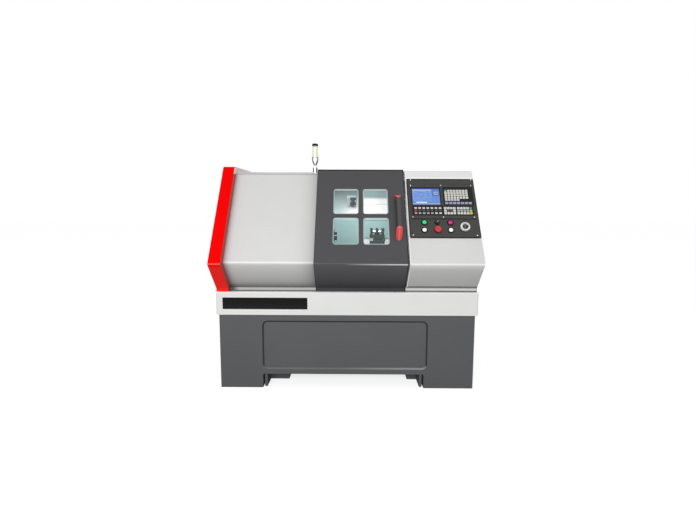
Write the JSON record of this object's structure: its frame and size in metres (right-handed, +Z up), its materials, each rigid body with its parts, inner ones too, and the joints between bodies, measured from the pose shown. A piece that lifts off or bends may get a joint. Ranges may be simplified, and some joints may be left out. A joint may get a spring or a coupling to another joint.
{
  "type": "cnc turning lathe",
  "caption": "Enclosed flat-bed turning lathe with a sloping hood, sliding windowed door, control console, end cover, chip pan and two-legged stand.",
  "frame": {"origin": "centre of the footprint on the floor, under the middle of the bounding box", "axes": "+X to the operator's right along the spindle, +Y to the rear, +Z up"},
  "size_m": [1.726, 1.1132, 1.682],
  "materials": {
    "grey_sheet": "light grey enamel",
    "dark_sheet": "dark grey enamel",
    "door_sheet": "dark grey enamel",
    "red_sheet": "bright red enamel",
    "casting": "machined and painted casting",
    "steel": "ground steel",
    "bright_steel": "bright plated steel",
    "alloy": "fine turned aluminium",
    "motor_paint": "black motor enamel",
    "belt_rubber": "matt belt rubber",
    "gasket_rubber": "soft pale grey rubber",
    "clear_pane": "clear",
    "handle_plastic": "fine grained dark grey",
    "handle_red": "glossy red",
    "panel_plastic": "satin dark grey",
    "screen_glass": "lit display glass",
    "key_plastic": "off-white keys",
    "black_plastic": "glossy black",
    "green_plastic": "glossy green",
    "magenta_plastic": "glossy magenta",
    "white_plastic": "glossy white",
    "stop_red": "glossy red",
    "beacon_plastic": "clear over a yellow lamp"
  },
  "bodies": {
    "frame": {"stand_leg_left": "dark_sheet", "stand_leg_right": "dark_sheet", "stand_front_panel": "dark_sheet", "chip_pan": "grey_sheet", "bed": "casting", "headstock": "casting", "spindle_bearings": "steel", "drive_belt": "belt_rubber", "spindle_motor": "motor_paint", "leadscrew_blocks": "casting", "saddle_motor": "motor_paint", "hood_left": "grey_sheet", "hood_top": "grey_sheet", "hood_rear": "grey_sheet", "hood_right": "grey_sheet", "end_cover": "red_sheet", "hood_sill": "grey_sheet", "door_rail": "steel", "console_housing": "panel_plastic", "cnc_unit": "panel_plastic", "cnc_screen": "screen_glass", "cnc_keys": "key_plastic", "button_bezels": "black_plastic", "beacon_stand": "bright_steel", "beacon_lens": "beacon_plastic", "beacon_cap": "black_plastic", "work_lamp": "black_plastic", "cabinet_box": "grey_sheet"},
    "door": {"door_panel": "door_sheet", "door_gaskets": "gasket_rubber", "door_panes": "clear_pane", "door_handle_bar": "handle_plastic", "door_handle_ends": "handle_red"},
    "spindle": {"spindle": "steel", "chuck_body": "steel", "spindle_pulley": "alloy"},
    "jaw_1": {"chuck_jaw_1": "steel"},
    "jaw_2": {"chuck_jaw_2": "steel"},
    "jaw_3": {"chuck_jaw_3": "steel"},
    "motor_pulley": {"motor_pulley": "alloy"},
    "saddle": {"saddle": "casting", "cross_motor": "motor_paint"},
    "leadscrew": {"leadscrew": "steel"},
    "cross_slide": {"cross_slide": "casting"},
    "tool_post": {"tool_post": "steel", "tool_bolts": "steel", "cutting_tools": "steel"},
    "tailstock": {"tailstock_body": "casting"},
    "quill": {"tailstock_quill": "steel"},
    "quill_wheel": {"tailstock_wheel": "bright_steel"},
    "tank": {"coolant_tank": "dark_sheet"},
    "cabinet_door": {"cabinet_door": "grey_sheet"},
    "main_switch": {"cabinet_switch": "black_plastic"},
    "button_green": {"button_green": "green_plastic"},
    "button_magenta": {"button_magenta": "magenta_plastic"},
    "button_white_left": {"button_white_left": "white_plastic"},
    "button_white_right": {"button_white_right": "white_plastic"},
    "button_stop": {"button_stop": "stop_red"},
    "selector": {"selector_knob": "black_plastic"},
    "handwheel": {"handwheel": "alloy"}
  },
  "joints": [
    {"name": "door_slide", "type": "slide", "parent": "frame", "child": "door", "axis": [-1, 0, 0], "range_m": [0, 0.555]},
    {"name": "spindle_turn", "type": "hinge", "parent": "frame", "child": "spindle", "pos_m": [-0.4, 0, 0.992], "axis": [1, 0, 0], "continuous": true},
    {"name": "motor_pulley_turn", "type": "hinge", "parent": "frame", "child": "motor_pulley", "pos_m": [-0.818, 0.245, 0.745], "axis": [1, 0, 0], "continuous": true},
    {"name": "jaw_1_slide", "type": "slide", "parent": "spindle", "child": "jaw_1", "axis": [0, 0, 1], "range_m": [-0.006, 0.007]},
    {"name": "jaw_2_slide", "type": "slide", "parent": "spindle", "child": "jaw_2", "axis": [0, -0.866, -0.5], "range_m": [-0.006, 0.007]},
    {"name": "jaw_3_slide", "type": "slide", "parent": "spindle", "child": "jaw_3", "axis": [0, 0.866, -0.5], "range_m": [-0.006, 0.007]},
    {"name": "saddle_slide", "type": "slide", "parent": "frame", "child": "saddle", "axis": [1, 0, 0], "range_m": [-0.166, 0.05]},
    {"name": "leadscrew_turn", "type": "hinge", "parent": "frame", "child": "leadscrew", "pos_m": [0.2, -0.19, 0.745], "axis": [1, 0, 0], "range_deg": [-6600, 1900]},
    {"name": "cross_slide_travel", "type": "slide", "parent": "saddle", "child": "cross_slide", "axis": [0, 1, 0], "range_m": [-0.05, 0.06]},
    {"name": "tool_post_index", "type": "hinge", "parent": "cross_slide", "child": "tool_post", "pos_m": [0.211, -0.11, 0.96], "axis": [0, 0, 1], "continuous": true},
    {"name": "tailstock_slide", "type": "slide", "parent": "frame", "child": "tailstock", "axis": [1, 0, 0], "range_m": [-0.03, 0.02]},
    {"name": "quill_slide", "type": "slide", "parent": "tailstock", "child": "quill", "axis": [-1, 0, 0], "range_m": [-0.02, 0.04]},
    {"name": "quill_wheel_turn", "type": "hinge", "parent": "tailstock", "child": "quill_wheel", "pos_m": [0.68, 0, 0.992], "axis": [-1, 0, 0], "range_deg": [-1450, 2900]},
    {"name": "tank_slide", "type": "slide", "parent": "frame", "child": "tank", "axis": [0, 1, 0], "range_m": [0, 0.45]},
    {"name": "cabinet_hinge", "type": "hinge", "parent": "frame", "child": "cabinet_door", "pos_m": [0.512, 0.51662, 1.08], "axis": [0, 0, -1], "range_deg": [0, 110]},
    {"name": "main_switch_turn", "type": "hinge", "parent": "cabinet_door", "child": "main_switch", "pos_m": [-0.11, 0.52862, 1.25], "axis": [0, 1, 0], "range_deg": [0, 90]},
    {"name": "button_green_press", "type": "slide", "parent": "frame", "child": "button_green", "axis": [0, 0.8382, -0.5453], "range_m": [0, 0.003], "stiffness_N_per_m": 600, "springref_m": -0.002},
    {"name": "button_magenta_press", "type": "slide", "parent": "frame", "child": "button_magenta", "axis": [0, 0.8382, -0.5453], "range_m": [0, 0.003], "stiffness_N_per_m": 600, "springref_m": -0.002},
    {"name": "button_white_left_press", "type": "slide", "parent": "frame", "child": "button_white_left", "axis": [0, 0.8382, -0.5453], "range_m": [0, 0.003], "stiffness_N_per_m": 600, "springref_m": -0.002},
    {"name": "button_white_right_press", "type": "slide", "parent": "frame", "child": "button_white_right", "axis": [0, 0.8382, -0.5453], "range_m": [0, 0.003], "stiffness_N_per_m": 600, "springref_m": -0.002},
    {"name": "button_stop_press", "type": "slide", "parent": "frame", "child": "button_stop", "axis": [0, 0.8382, -0.5453], "range_m": [0, 0.004], "stiffness_N_per_m": 600, "springref_m": -0.002},
    {"name": "selector_turn", "type": "hinge", "parent": "frame", "child": "selector", "pos_m": [0.584, -0.37307, 1.11122], "axis": [0, -0.8382, 0.5453], "range_deg": [-45, 45]},
    {"name": "handwheel_turn", "type": "hinge", "parent": "frame", "child": "handwheel", "pos_m": [0.76, -0.39215, 1.08189], "axis": [0, -0.8382, 0.5453], "continuous": true}
  ],
  "couplings": [
    {"joint": "motor_pulley_turn", "follows": "spindle_turn", "ratio": 1.5652},
    {"joint": "jaw_2_slide", "follows": "jaw_1_slide", "ratio": 1},
    {"joint": "jaw_3_slide", "follows": "jaw_1_slide", "ratio": 1},
    {"joint": "leadscrew_turn", "follows": "saddle_slide", "rad_per_m": 628.32},
    {"joint": "quill_wheel_turn", "follows": "quill_slide", "rad_per_m": 1256.6}
  ]
}
